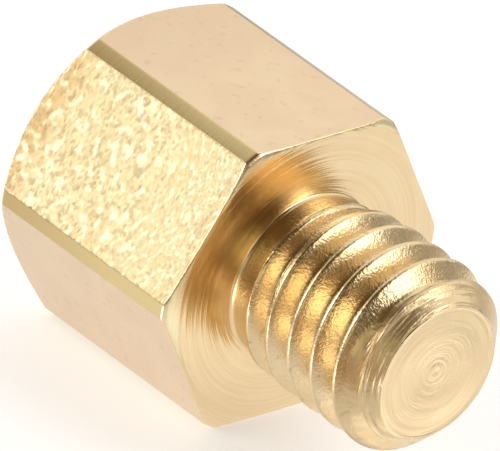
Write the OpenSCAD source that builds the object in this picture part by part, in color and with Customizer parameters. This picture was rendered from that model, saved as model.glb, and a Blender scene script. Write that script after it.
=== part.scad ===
// Short male-female hex standoff, turned from one piece of hexagonal brass bar.
// It lies on one flat of the hexagon. The axis runs along X, with the threaded stud
// towards +X, and the origin is on the axis, at the shoulder that a board seats on.
// Both threads are drawn plain enough to measure: the stud has rings of the true pitch,
// angle and diameters, so that its crests are true cylinders, and the socket is the
// bore that is drilled for the tap.

/* [Hex body] */
// Width of the hexagon across its flats
hex_af = 4.5; // [4.2:0.1:8]
// Length of the body, from the shoulder to the socket's end face
body_len = 4; // [4:0.5:30]
// Width of the narrow land that is turned on each corner of the bar
corner_land = 0.24; // [0.1:0.02:0.6]

/* [Chamfers of the body] */
// Depth of the socket end's chamfer at the middle of a flat
end_chamfer = 0.14; // [0.02:0.02:0.3]
// Angle of the socket end's chamfer, from the end face
end_chamfer_angle = 40; // [30:1:50]
// How far outside the flats the shoulder's chamfer begins, so that it takes only the corners
shoulder_rim = 0.08; // [0.02:0.02:0.16]
// Angle of the shoulder's chamfer, from the shoulder
shoulder_chamfer_angle = 20; // [15:1:35]

/* [Thread] */
// Nominal diameter of both threads
thread_size = 3; // [2.5:0.1:3.2]
// Pitch of both threads
pitch = 0.5; // [0.35:0.05:0.6]
// Angle between the two flanks of a groove
thread_angle = 60; // [55:1:60]
// Radial clearance that the stud's thread has under the nominal form
stud_allowance = 0.045; // [0:0.005:0.06]

/* [Stud] */
// Length of the stud, from the shoulder to its tip
stud_len = 3; // [2:0.5:16]
// Length and depth of the chamfer at the stud's tip
tip_chamfer = 0.41; // [0.2:0.01:0.6]
// Length of the neck, from the shoulder to the first crest
neck_len = 0.47; // [0.35:0.01:0.8]
// Depth of the neck below the crests
neck_depth = 0.18; // [0.1:0.01:0.24]
// Angle of the slope from the neck up to the first crest, from the axis
neck_slope = 60; // [45:1:80]
// Radius of the fillet between the neck and the shoulder
neck_fillet = 0.2; // [0.19:0.01:0.24]

/* [Socket] */
// Depth of the drilled bore at its full diameter
socket_depth = 3; // [1:0.1:3.2]
// Diameter of the countersink at the socket's mouth
countersink_d = 3.3; // [2.8:0.1:3.8]
// Angle between the two sides of the countersink
countersink_angle = 90; // [82:1:120]
// Angle of the drill's point
drill_point_angle = 118; // [90:1:140]

/* [Hidden] */
$fn = 96;
brass = "#d9ba78";
// How far a cut or a join runs past the faces that it works on
run_past = 0.5;
flat_r = hex_af / 2;
half_side = flat_r * tan(30);
corner_r = norm([flat_r, half_side - corner_land / (2 * cos(30))]);
end_face_r = flat_r - end_chamfer / tan(end_chamfer_angle);
shoulder_r = flat_r + shoulder_rim;
crest_r = thread_size / 2 - stud_allowance;
// A metric groove is 17/24 as deep as the sharp triangle is high, and 7/8 of a pitch wide
sharp_height = pitch / 2 / tan(thread_angle / 2);
root_r = crest_r - sharp_height * 17 / 24;
groove_w = pitch * 7 / 8;
crest_land = pitch - groove_w;
neck_r = crest_r - neck_depth;
tip_r = crest_r - tip_chamfer;
tap_drill_r = (thread_size - pitch) / 2;
countersink_depth = (countersink_d / 2 - tap_drill_r) / tan(countersink_angle / 2);
drill_point_len = tap_drill_r / tan(drill_point_angle / 2);
first_groove_z = neck_len + crest_land + groove_w / 2;
groove_count = floor((stud_len - first_groove_z) / pitch) + 1;

// Every form is drawn along Z, with the shoulder at z = 0, and then laid along X
module along_x() {
    rotate([0, 90, 0]) children();
}

// The hexagonal bar that the part is turned from, with a flat below
module bar() {
    rotate([0, 0, 30])
        translate([0, 0, -body_len - run_past])
            cylinder(r = flat_r / cos(30), h = body_len + stud_len + 2 * run_past, $fn = 6);
}

// Half of the turned outline: corner lands, chamfers, shoulder, filleted neck and stud
module turned_outline() {
    fillet_r = neck_r + neck_fillet;
    polygon([
        [0, -body_len],
        [end_face_r, -body_len],
        [corner_r, (corner_r - end_face_r) * tan(end_chamfer_angle) - body_len],
        [corner_r, -(corner_r - shoulder_r) * tan(shoulder_chamfer_angle)],
        [shoulder_r, 0],
        [neck_r, 0],
        [neck_r, neck_len - neck_depth / tan(neck_slope)],
        [crest_r, neck_len],
        [crest_r, stud_len - tip_chamfer],
        [tip_r, stud_len],
        [0, stud_len]
    ]);
    difference() {
        translate([0, -run_past]) square([fillet_r, run_past + neck_fillet]);
        translate([fillet_r, neck_fillet]) circle(neck_fillet, $fn = 32);
    }
}

// One ring of the stud's thread, open towards the crests
module thread_groove() {
    flank = tan(thread_angle / 2);
    outer_r = crest_r + run_past;
    outer_half = groove_w / 2 + run_past * flank;
    root_half = groove_w / 2 - (crest_r - root_r) * flank;
    rotate_extrude()
        polygon([
            [outer_r, -outer_half],
            [outer_r, outer_half],
            [root_r, root_half],
            [root_r, -root_half]
        ]);
}

// What the drill and the countersink take out of the socket's end
module socket() {
    mouth_r = countersink_d / 2;
    flare_r = mouth_r + run_past * tan(countersink_angle / 2);
    translate([0, 0, -body_len])
        rotate_extrude()
            polygon([
                [0, -run_past],
                [flare_r, -run_past],
                [mouth_r, 0],
                [tap_drill_r, countersink_depth],
                [tap_drill_r, socket_depth],
                [0, socket_depth + drill_point_len]
            ]);
}

module hex_standoff() {
    color(brass)
        along_x()
            difference() {
                intersection() {
                    bar();
                    rotate_extrude() turned_outline();
                }
                for (turn = [0 : groove_count - 1])
                    translate([0, 0, first_groove_z + turn * pitch]) thread_groove();
                socket();
            }
}

hex_standoff();
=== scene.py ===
"""Hex standoff turned from brass bar: the visual model, its studio and its camera.

The part lies on one flat of its hexagon. Its axis runs along X, with the stud towards +X, and
the origin is the centre of the shoulder. Sizes are in millimetres until a mesh is written, and
angles about the axis go from +Y towards +Z.
"""

import logging
import math
from collections.abc import Callable, Iterable
from dataclasses import dataclass, field
from enum import Enum
from typing import ClassVar

import bpy
import numpy as np
from mathutils import Matrix, Vector


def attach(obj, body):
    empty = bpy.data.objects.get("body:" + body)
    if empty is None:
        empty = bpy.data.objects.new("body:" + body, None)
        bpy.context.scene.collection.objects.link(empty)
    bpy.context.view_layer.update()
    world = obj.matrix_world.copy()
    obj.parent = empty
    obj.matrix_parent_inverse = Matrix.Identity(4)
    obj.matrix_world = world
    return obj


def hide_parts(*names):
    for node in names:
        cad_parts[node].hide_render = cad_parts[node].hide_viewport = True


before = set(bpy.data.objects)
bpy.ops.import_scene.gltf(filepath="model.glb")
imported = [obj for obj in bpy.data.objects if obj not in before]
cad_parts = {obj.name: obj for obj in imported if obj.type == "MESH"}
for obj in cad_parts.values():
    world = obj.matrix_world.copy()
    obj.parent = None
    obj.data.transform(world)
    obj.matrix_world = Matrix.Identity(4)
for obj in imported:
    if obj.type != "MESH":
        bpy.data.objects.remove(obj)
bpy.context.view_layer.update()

LOG = logging.getLogger("hex_standoff")
MM = 0.001
TURN = 2 * math.pi
# Angle of a metric thread's flanks from a plane across its axis.
FLANK = math.radians(30)

Numbers = np.ndarray | float
Colour = tuple[float, float, float]


# ---------------------------------------------------------------- small maths


def smooth_min(a: np.ndarray, b: np.ndarray, width: float) -> np.ndarray:
    """Lesser of two fields, rounded where they come within a width of each other."""
    near = np.clip(width - np.abs(a - b), 0, None) / width
    return np.minimum(a, b) - near**2 * width / 4


def smooth_max(a: np.ndarray, b: np.ndarray, width: float) -> np.ndarray:
    """Greater of two fields, rounded as smooth_min rounds the lesser."""
    return -smooth_min(-a, -b, width)


def smooth_step(low: float, high: float, x: np.ndarray) -> np.ndarray:
    """Fade from 0 at low to 1 at high with level ends."""
    t = np.clip((x - low) / (high - low), 0, 1)
    return t * t * (3 - 2 * t)


def direction(azimuth: float, elevation: float) -> Vector:
    """Unit vector from an azimuth about Z, 0 at +X, and an elevation, both in degrees."""
    a, e = math.radians(azimuth), math.radians(elevation)
    return Vector((math.cos(a) * math.cos(e), math.sin(a) * math.cos(e), math.sin(e)))


# ---------------------------------------------------------------- mesh making


class Zone(Enum):
    """Finish that a face of the standoff has, by the number of its material."""

    DRAWN = 0
    TURNED = 1
    THREADED = 2
    LAND = 3
    # Paler chamfers on two corners: a painted highlight.
    CUT = 4
    FACED = 5


@dataclass
class LatheMesh:
    """A closed mesh made of rings of vertices that share one set of angles.

    Rings are joined in the order in which a pencil would follow the outline, from the drill
    point in the socket, round the outside and to the centre of the tip, so that every face
    looks out of the metal.

    Attributes:
        angles: Angles of each ring's vertices about the axis, in rising order.
        points: Blocks of vertices.
        faces: Vertices of each face.
        zones: Number of each face's finish.
        count: Number of vertices.
    """

    angles: np.ndarray
    points: list[np.ndarray] = field(default_factory=list)
    faces: list[tuple[int, ...]] = field(default_factory=list)
    zones: list[int] = field(default_factory=list)
    count: int = 0

    def ring(self, x: Numbers, r: Numbers) -> np.ndarray:
        """Add one ring.

        Args:
            x: Place along the axis, one value or one per angle.
            r: Radius, one value or one per angle.

        Returns:
            The indices of the ring's vertices.
        """
        x = np.broadcast_to(np.asarray(x, float), self.angles.shape)
        r = np.broadcast_to(np.asarray(r, float), self.angles.shape)
        return self.add(x, r, self.angles)

    def add(self, x: np.ndarray, r: np.ndarray, angle: np.ndarray) -> np.ndarray:
        """Add vertices given in polar form.

        Args:
            x: Places along the axis.
            r: Radii.
            angle: Angles about the axis.

        Returns:
            The indices of the vertices.
        """
        block = np.stack([x, r * np.cos(angle), r * np.sin(angle)], axis=-1)
        self.points.append(block.reshape(-1, 3))
        first = self.count
        self.count += block.size // 3
        return np.arange(first, self.count).reshape(x.shape)

    def join(self, a: np.ndarray, b: np.ndarray, zone: Zone,
             marks: np.ndarray | None = None, other: Zone = Zone.LAND) -> np.ndarray:
        """Join two rings with quads.

        Args:
            a: Ring to start from.
            b: Ring to end on.
            zone: Finish of the quads.
            marks: Marks the quads that have the other finish instead.
            other: The other finish.

        Returns:
            The second ring.
        """
        ahead_a, ahead_b = np.roll(a, -1), np.roll(b, -1)
        self.faces.extend(tuple(int(v) for v in quad) for quad in zip(a, ahead_a, ahead_b, b))
        marks = np.zeros(len(a), bool) if marks is None else marks
        self.zones.extend((other if mark else zone).value for mark in marks)
        return b

    def run(self, ring: np.ndarray, outline: Iterable[tuple[Numbers, Numbers]], zone: Zone,
            marks: np.ndarray | None = None) -> np.ndarray:
        """Add rings in order, each joined to the one before it.

        Args:
            ring: Ring to start from.
            outline: Place and radius of each new ring.
            zone: Finish of the quads between them.
            marks: Marks the quads that are lands instead.

        Returns:
            The last ring.
        """
        for x, r in outline:
            ring = self.join(ring, self.ring(x, r), zone, marks)
        return ring

    def close(self, ring: np.ndarray, x: float, zone: Zone, start: bool) -> None:
        """Close a ring with a fan to one point on the axis.

        Args:
            ring: The ring to close.
            x: Place of the point along the axis.
            zone: Finish of the fan.
            start: True where the point comes before the ring in the outline's order.
        """
        tip = int(self.add(np.array([x]), np.zeros(1), np.zeros(1))[0])
        for i, j in zip(ring, np.roll(ring, -1)):
            self.faces.append((tip, int(j), int(i)) if start else (int(i), int(j), tip))
            self.zones.append(zone.value)

    def helix(
        self,
        first: np.ndarray,
        last: np.ndarray,
        span: tuple[float, float],
        lead: float,
        steps: np.ndarray,
        phase: float,
        radius: Callable[[np.ndarray, np.ndarray], np.ndarray],
        zone: Zone,
    ) -> np.ndarray:
        """Fill the stretch between two rings with rows that follow a right-hand helix.

        A row keeps its place in the thread's profile all the way round. Where it would leave
        the stretch it runs along the first or the last ring, and its faces shrink to nothing.

        Args:
            first: Ring that the stretch starts from.
            last: Ring that it ends on.
            span: Places of the two rings along the axis.
            lead: Advance of the helix in one turn.
            steps: Places of the rows within one lead, from 0, in rising order.
            phase: Place of the helix along the axis at angle 0.
            radius: Gives the surface's radius from places and angles.
            zone: Finish of the stretch.

        Returns:
            The last ring.
        """
        low, high = min(span), max(span)
        start = phase + math.floor((low - lead - phase) / lead) * lead
        turns = math.ceil((high - start) / lead) + 1
        rows = np.concatenate([start + lead * t + steps for t in range(turns)])
        if span[1] < span[0]:
            rows = rows[::-1]
        place = rows[:, None] + lead * self.angles[None, :] / TURN
        inside = (place > low + 1e-6) & (place < high - 1e-6)
        index = np.where((place <= low) == (span[0] < span[1]), first[None, :], last[None, :])
        x, angle = place[inside], self.angles[np.nonzero(inside)[1]]
        index[inside] = self.add(x, radius(x, angle), angle)
        # After a full turn a row meets the row that is one lead further on.
        ahead = np.arange(len(rows)) + (len(steps) if span[0] < span[1] else -len(steps))
        seam = index[np.clip(ahead, 0, len(rows) - 1), 0]
        seam = np.where(ahead < 0, first[0], np.where(ahead >= len(rows), last[0], seam))
        index = np.concatenate([index, seam[:, None]], axis=1)
        for k in range(len(rows) - 1):
            for j in range(index.shape[1] - 1):
                corners = (index[k, j], index[k, j + 1], index[k + 1, j + 1], index[k + 1, j])
                kept = tuple(dict.fromkeys(int(v) for v in corners))
                if len(kept) > 2:
                    self.faces.append(kept)
                    self.zones.append(zone.value)
        return last

    def build(self, name: str) -> bpy.types.Object:
        """Write the rings as a Blender object in metres.

        Args:
            name: Name of the object and of its mesh.

        Returns:
            The object, with smooth shading and one material index per finish.
        """
        mesh = bpy.data.meshes.new(name)
        points = np.concatenate(self.points) * MM
        mesh.from_pydata(points.tolist(), [], self.faces)
        mesh.polygons.foreach_set("material_index", self.zones)
        mesh.polygons.foreach_set("use_smooth", [True] * len(self.faces))
        mesh.update()
        mesh.validate()
        body = bpy.data.objects.new(name, mesh)
        bpy.context.scene.collection.objects.link(body)
        return body


def rounded(a: tuple, corner: tuple, b: tuple, steps: int = 4) -> list[tuple]:
    """Round a corner of the outline.

    Args:
        a: Place and radius where the rounding starts.
        corner: Place and radius of the sharp corner.
        b: Place and radius where it ends.
        steps: Number of rings.

    Returns:
        Places and radii of the rings, each one value or one per angle.
    """
    out = []
    for t in np.linspace(0, 1, steps):
        weights = ((1 - t) ** 2, 2 * t * (1 - t), t * t)
        out.append(tuple(sum(w * p[i] for w, p in zip(weights, (a, corner, b))) for i in (0, 1)))
    return out


# ---------------------------------------------------------------- the standoff


@dataclass
class HexBody:
    """Hexagonal body with its corner lands, chamfers and shoulder.

    Attributes:
        flat_r: Distance from the axis to a flat.
        length: Length from the end face to the shoulder.
        land: Width of the lands that are turned on the corners.
        land_round: Rounding of the lands' edges.
        end_depth: Depth of the end chamfer on the middle of a flat.
        end_angle: Angle of the end chamfer from the end face.
        end_round: Rounding between the end face and its chamfer.
        edge_round: Rounding between the end chamfer and the flats.
        shoulder_round: Rounding between the flats and the shoulder.
        row_margins: What the flats' rows leave free at the end chamfer, and in all at both ends.
        shoulder_rim: How far outside the flats the corner chamfers start.
        chamfer_slope: Fall of the corner chamfers for each millimetre outwards.
        top_slope: What is added to it on the upper corners.
        chamfer_lean: How far the chamfers are off centre.
        lean_turn: Direction in which they are off centre.
        nose: Width of the steeper strip at the very corners.
        nose_slope: Its slope.
        nose_round: Rounding where it and the corner chamfers start.
        rolled_edge: Width of the rolled edge along the flats.
        rolled_slope: Its slope.
        rolled_round: Rounding where it starts.
        step_r: Radius where the flat part of the shoulder starts.
        face_rows: Place and radius of the rings on that flat part.
        highlight_corners: Directions of the corners whose chamfers get a paler colour, a painted
            highlight, in degrees.
        highlight_reach: Cosine of the angle up to which they do, on either side.
        columns: Number of the mesh's columns across a flat.
    """

    flat_r: float = 2.25
    length: float = 4.0
    land: float = 0.24
    land_round: float = 0.014
    end_depth: float = 0.14
    end_angle: float = math.radians(40)
    end_round: float = 0.03
    edge_round: float = 0.02
    shoulder_round: float = 0.022
    row_margins: tuple[float, float] = (0.035, 0.06)
    shoulder_rim: float = 0.08
    chamfer_slope: float = 0.08
    top_slope: float = 0.11
    chamfer_lean: float = 0.09
    lean_turn: float = math.radians(205)
    nose: float = 0.06
    nose_slope: float = 0.35
    nose_round: float = 0.02
    rolled_edge: float = 0.07
    rolled_slope: float = 0.16
    rolled_round: float = 0.03
    step_r: float = 2.15
    face_rows: tuple[tuple[float, float], ...] = (
        (0.003, 2.135), (0.004, 2.12), (0.0, 2.1), (0.0, 1.95), (0.0, 1.75), (0.0, 1.56),
    )
    highlight_corners: tuple[float, ...] = (60, 180)
    highlight_reach: float = 0.9
    columns: int = 35

    @property
    def corner_r(self) -> float:
        """Radius of the lands that are turned on the corners."""
        side = self.flat_r * math.tan(math.radians(30))
        return math.hypot(self.flat_r, side - self.land / (2 * math.cos(math.radians(30))))

    @property
    def end_r(self) -> float:
        """Radius of the flat end face round the socket."""
        return self.flat_r - self.end_depth / math.tan(self.end_angle)

    def end_x(self, r: np.ndarray) -> np.ndarray:
        """Place of the end chamfer along the axis at each radius."""
        return -self.length + (r - self.end_r) * math.tan(self.end_angle)

    def chamfer_start(self, angle: np.ndarray) -> np.ndarray:
        """Radius outside which the corners are chamfered, a little off centre."""
        return self.flat_r + self.shoulder_rim - self.chamfer_lean * np.cos(angle - self.lean_turn)

    def shoulder_x(self, r: np.ndarray, hexagon: np.ndarray, angle: np.ndarray) -> np.ndarray:
        """Place of the shoulder's surface along the axis.

        Args:
            r: Radii on the shoulder.
            hexagon: Radius of the hexagonal section at each angle.
            angle: Angles about the axis.

        Returns:
            0 on the flat shoulder, and less on the corner chamfers and the rolled edges.
        """
        nothing = 0 * r
        slope = self.chamfer_slope + self.top_slope * np.maximum(0, np.sin(angle))
        chamfer = smooth_max(r - self.chamfer_start(angle), nothing, self.nose_round)
        nose = smooth_max(r - self.corner_r + self.nose, nothing, self.nose_round)
        rolled = smooth_max(r - hexagon + self.rolled_edge, nothing, self.rolled_round)
        return -chamfer * slope - nose * self.nose_slope - rolled * self.rolled_slope

    def angles(self) -> np.ndarray:
        """Space the mesh's columns: close together at the lands' edges, wider across the flats.

        Returns:
            Their angles about the axis, in rising order.
        """
        edge = 30 - math.degrees(math.asin(self.land / 2 / self.corner_r))
        across = np.linspace(-(edge - 0.85), edge - 0.85, self.columns)
        fine = edge + np.array([-0.5, -0.32, -0.16, 0.0, 0.14, 0.3, 0.5])
        half = np.concatenate([fine, [edge + 0.8, (edge + 30.8) / 2]])
        sector = np.concatenate([-half[::-1], across, half, [30.0]])
        turns = [np.radians(sector + 30 + 60 * k) for k in range(6)]
        return np.sort(np.concatenate(turns) % TURN)

    def from_flat(self, angle: np.ndarray) -> np.ndarray:
        """Angles from the middle of the nearest flat."""
        turned = (angle - math.radians(30)) % (TURN / 6)
        return np.minimum(turned, TURN / 6 - turned)

    def radius(self, angle: np.ndarray) -> np.ndarray:
        """Radius of the hexagonal section at each angle, its land edges slightly rounded."""
        flat = self.flat_r / np.cos(self.from_flat(angle))
        return smooth_min(flat, np.full_like(flat, self.corner_r), self.land_round)

    def lands(self, angles: np.ndarray) -> np.ndarray:
        """Mark the columns of the mesh that lie on the lands."""
        gaps = (np.roll(angles, -1) - angles) % TURN
        return self.flat_r / np.cos(self.from_flat(angles + 0.5 * gaps)) > self.corner_r

    def outside(self, mesh: LatheMesh, ring: np.ndarray) -> np.ndarray:
        """Add the end face, both chamfers, the flats and the shoulder.

        Args:
            mesh: Mesh to add to.
            ring: Ring at the socket's mouth.

        Returns:
            The ring on the shoulder where the neck's fillet starts.
        """
        hexagon = self.radius(mesh.angles)
        ring = self.end_face(mesh, ring, hexagon)
        ring = self.flats(mesh, ring, hexagon)
        return self.shoulder(mesh, ring, hexagon)

    def end_face(self, mesh: LatheMesh, ring: np.ndarray, hexagon: np.ndarray) -> np.ndarray:
        """Add the end face and its chamfer.

        Args:
            mesh: Mesh to add to.
            ring: Ring at the socket's mouth.
            hexagon: Radius of the hexagonal section at each angle.

        Returns:
            The ring where the flats start.
        """
        x0, ones = -self.length, np.ones_like(hexagon)
        c, s = math.cos(self.end_angle), math.sin(self.end_angle)
        ring = mesh.run(ring, [(x0, r) for r in (1.7, 1.85, self.end_r - 0.05)], Zone.TURNED)
        soft = self.end_round
        start = (x0 * ones, (self.end_r - soft) * ones)
        end = (x0 + soft * s, self.end_r + soft * c * ones)
        ring = mesh.run(ring, rounded(start, (x0 * ones, self.end_r * ones), end), Zone.TURNED)
        radii = [self.end_r + share * (hexagon - self.end_r) for share in (0.25, 0.5, 0.75, 0.88)]
        ring = mesh.run(ring, [(self.end_x(r), r) for r in radii], Zone.TURNED)
        edge_x, soft = self.end_x(hexagon), self.edge_round
        start = (edge_x - soft * s, hexagon - soft * c)
        edge = rounded(start, (edge_x, hexagon), (edge_x + soft, hexagon), 5)
        return mesh.run(ring, edge, Zone.TURNED)

    def flats(self, mesh: LatheMesh, ring: np.ndarray, hexagon: np.ndarray) -> np.ndarray:
        """Add the flats and the lands, with close rows beside the end chamfer's curved edge.

        Args:
            mesh: Mesh to add to.
            ring: Ring where the flats start.
            hexagon: Radius of the hexagonal section at each angle.

        Returns:
            The ring where the shoulder's rounded edge starts.
        """
        first, both = self.row_margins
        edge_x = self.end_x(hexagon)
        near_x = self.shoulder_x(hexagon, hexagon, mesh.angles)
        shares = (0.03, 0.06, 0.09, 0.13, 0.2, 0.4, 0.6, 0.8)
        rows = [edge_x + first]
        rows += [edge_x + first + share * (near_x - edge_x - both) for share in shares]
        rows += [near_x - 2 * self.shoulder_round, near_x - self.shoulder_round]
        return mesh.run(ring, [(x, hexagon) for x in rows], Zone.DRAWN, self.lands(mesh.angles))

    def shoulder(self, mesh: LatheMesh, ring: np.ndarray, hexagon: np.ndarray) -> np.ndarray:
        """Add the shoulder with its rounded edge and its corner chamfers.

        Args:
            mesh: Mesh to add to.
            ring: Ring where the rounded edge starts.
            hexagon: Radius of the hexagonal section at each angle.

        Returns:
            The ring where the neck's fillet starts.
        """
        angles, soft = mesh.angles, self.shoulder_round
        near_x = self.shoulder_x(hexagon, hexagon, angles)
        start = (near_x - soft, hexagon)
        end = (self.shoulder_x(hexagon - soft, hexagon, angles), hexagon - soft)
        ring = mesh.run(ring, rounded(start, (near_x, hexagon), end, 6)[1:], Zone.TURNED)
        # The chamfers on the corners that look bright get a paler colour, a painted highlight.
        corners = [math.radians(corner) for corner in self.highlight_corners]
        bright = np.any([np.cos(angles - corner) > self.highlight_reach for corner in corners], axis=0)
        for share in np.linspace(0, 1, 13)[1:]:
            r = hexagon - soft + share * (self.step_r - hexagon + soft)
            new = mesh.ring(self.shoulder_x(r, hexagon, angles), r)
            cut = bright & (r > self.chamfer_start(angles))
            ring = mesh.join(ring, new, Zone.TURNED, cut, Zone.CUT)
        return mesh.run(ring, self.face_rows, Zone.TURNED)


@dataclass
class Stud:
    """Male end: filleted neck, right-hand metric thread and chamfered tip.

    Attributes:
        length: Length from the shoulder to the tip.
        pitch: Pitch of the thread.
        crest_r: Radius of the crests.
        root_r: Radius of the roots.
        neck_r: Radius of the neck.
        neck_x: Place of the ring in the middle of the neck.
        neck_round: Rounding between the neck and its slope.
        neck_len: Length of the neck with its slope up to the crests.
        slope_len: Length of that slope.
        slope: Angle of that slope from the axis.
        first_crests: Place up to which the crests are cut down, and where they are full.
        crest_loss: How much the first crest is cut down.
        slope_round: Rounding between the slope and the crests.
        fillet: Radius of the fillet between the shoulder and the neck.
        tip_chamfer: Depth of the tip's 45 degree chamfer.
        tip_round: Rounding between the crests and that chamfer.
        groove_phase: Place of the groove along the axis at angle 0.
        root_parts: How often half the flat of a root goes into the pitch.
        crest_round: Rounding of the crests.
        root_round: Rounding of the roots.
        run_out: Place up to which the groove is filled at the neck, and where it is free.
        fill: How much the groove is filled at its start.
        start_x: Place where the helical rows start.
        end_x: Place where they end.
        dish_r: Radius inside which the end face is dished.
        dish_slope: Its slope there.
        fall_r: Radius outside which it falls away.
        fall_slope: Its slope there.
        pip_r: Radius of the pip in its middle.
    """

    length: float = 3.0
    pitch: float = 0.5
    crest_r: float = 1.455
    root_r: float = 1.148
    neck_r: float = 1.275
    neck_x: float = 0.28
    neck_round: float = 0.02
    neck_len: float = 0.47
    slope_len: float = 0.104
    slope: float = math.radians(60)
    first_crests: tuple[float, float] = (0.45, 1.3)
    crest_loss: float = 0.05
    slope_round: float = 0.04
    fillet: float = 0.06
    tip_chamfer: float = 0.41
    tip_round: float = 0.03
    groove_phase: float = 0.65 - 0.5 * 150 / 360
    root_parts: float = 12
    crest_round: float = 0.035
    root_round: float = 0.06
    run_out: tuple[float, float] = (0.32, 0.46)
    fill: float = 0.3
    start_x: float = 0.36
    end_x: float = 2.985
    dish_r: float = 0.74
    dish_slope: float = 0.085
    fall_r: float = 0.78
    fall_slope: float = 0.11
    pip_r: float = 0.22

    def envelope(self, x: np.ndarray) -> np.ndarray:
        """Shape the stud before it is threaded: neck, crests and tip chamfer.

        Args:
            x: Places along the axis.

        Returns:
            The radii, with the joints between the three rounded.
        """
        slope = self.neck_r + (x - self.neck_len + self.slope_len) * math.tan(self.slope)
        neck = smooth_max(np.full_like(x, self.neck_r), slope, self.neck_round)
        crest = self.crest_r - self.crest_loss * (1 - smooth_step(*self.first_crests, x))
        chamfer = self.crest_r - (x - self.length + self.tip_chamfer)
        return smooth_min(smooth_min(neck, crest, self.slope_round), chamfer, self.tip_round)

    def radius(self, x: np.ndarray, angle: np.ndarray) -> np.ndarray:
        """Radius of the threaded surface.

        Args:
            x: Places along the axis.
            angle: Angles about it.

        Returns:
            The radii, with crests and roots rounded and the groove run out at both ends.
        """
        along = (x - self.groove_phase - self.pitch * angle / TURN) / self.pitch
        off = np.abs(along - np.round(along)) * self.pitch
        flank = self.root_r + (off - self.pitch / self.root_parts) / math.tan(FLANK)
        groove = smooth_max(flank, np.full_like(x, self.root_r), self.root_round)
        groove = groove + self.fill * (1 - smooth_step(*self.run_out, x))
        return smooth_min(groove, self.envelope(x), self.crest_round)

    def steps(self) -> np.ndarray:
        """Space the mesh's rows within one pitch, closest at crest and root.

        Returns:
            Their places along the axis, from 0, in rising order.
        """
        root, crest = np.linspace(0.02, 0.1, 5), np.linspace(0.195, 0.243, 7)
        half = np.concatenate([root, [0.13, 0.165], crest])
        return np.sort(np.concatenate([[0.0], half, self.pitch - half, [self.pitch / 2]]))

    def outside(self, mesh: LatheMesh, ring: np.ndarray) -> None:
        """Add the neck, the thread, the chamfer and the tip.

        Args:
            mesh: Mesh to add to.
            ring: Ring on the shoulder just outside the neck's fillet.
        """
        centre_r = self.neck_r + self.fillet
        turns = np.radians(np.linspace(0, 90, 8))
        fillet = [(self.fillet * (1 - math.cos(t)), centre_r - self.fillet * math.sin(t)) for t in turns]
        ring = mesh.run(ring, fillet, Zone.TURNED)
        ends = [(x, self.envelope(np.array([x]))[0]) for x in (self.start_x, self.end_x)]
        first = mesh.run(ring, [(self.neck_x, self.neck_r), ends[0]], Zone.THREADED)
        last = mesh.ring(*ends[1])
        ring = mesh.helix(
            first, last, (self.start_x, self.end_x), self.pitch, self.steps(), self.groove_phase,
            self.radius, Zone.THREADED,
        )
        self.tip(mesh, ring)

    def tip(self, mesh: LatheMesh, ring: np.ndarray) -> None:
        """Add the burred lip and the dished end face with its pip.

        Args:
            mesh: Mesh to add to.
            ring: Ring at the small end of the chamfer.
        """
        tip_r = self.crest_r - self.tip_chamfer
        burr = self.burr(mesh.angles)
        lip = ((-0.016, 0.006, 0.006), (-0.011, 0.004, 0.014), (-0.004, 0.002, 0.016),
               (-0.001, -0.008, 0.01), (-0.003, -0.022, 0.004))
        rows = [(self.length + x, tip_r + r + share * burr) for x, r, share in lip]
        ring = mesh.run(ring, rows, Zone.TURNED)
        radii = (0.98, 0.94, 0.85, 0.75, 0.66, 0.56, 0.45, 0.35, 0.27)
        ring = mesh.run(ring, [(self.face_x(r), r) for r in radii], Zone.FACED)
        middle = self.face_x(self.pip_r)
        pip = ((self.pip_r, 0.0), (0.2, 0.003), (0.18, 0.002), (0.16, -0.004), (0.14, -0.004),
               (0.12, 0.003), (0.09, 0.009), (0.06, 0.008), (0.03, 0.003))
        ring = mesh.run(ring, [(middle + rise, r) for r, rise in pip], Zone.FACED)
        mesh.close(ring, middle, Zone.FACED, start=False)

    def face_x(self, r: float) -> float:
        """Place of the cut end face, which is dished inside and falls away at its rim."""
        dish, fall = max(0.0, self.dish_r - r), max(0.0, r - self.fall_r)
        return self.length - self.dish_slope * dish - self.fall_slope * fall

    def burr(self, angle: np.ndarray) -> np.ndarray:
        """Uneven height of the burr round the end face, from -1 to 1."""
        waves = ((2, 0.4, 0.3), (5, 1.9, 0.25), (9, 0.2, 0.2), (16, 2.8, 0.15), (27, 1.1, 0.1))
        return sum(share * np.sin(n * angle + start) for n, start, share in waves)


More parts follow.
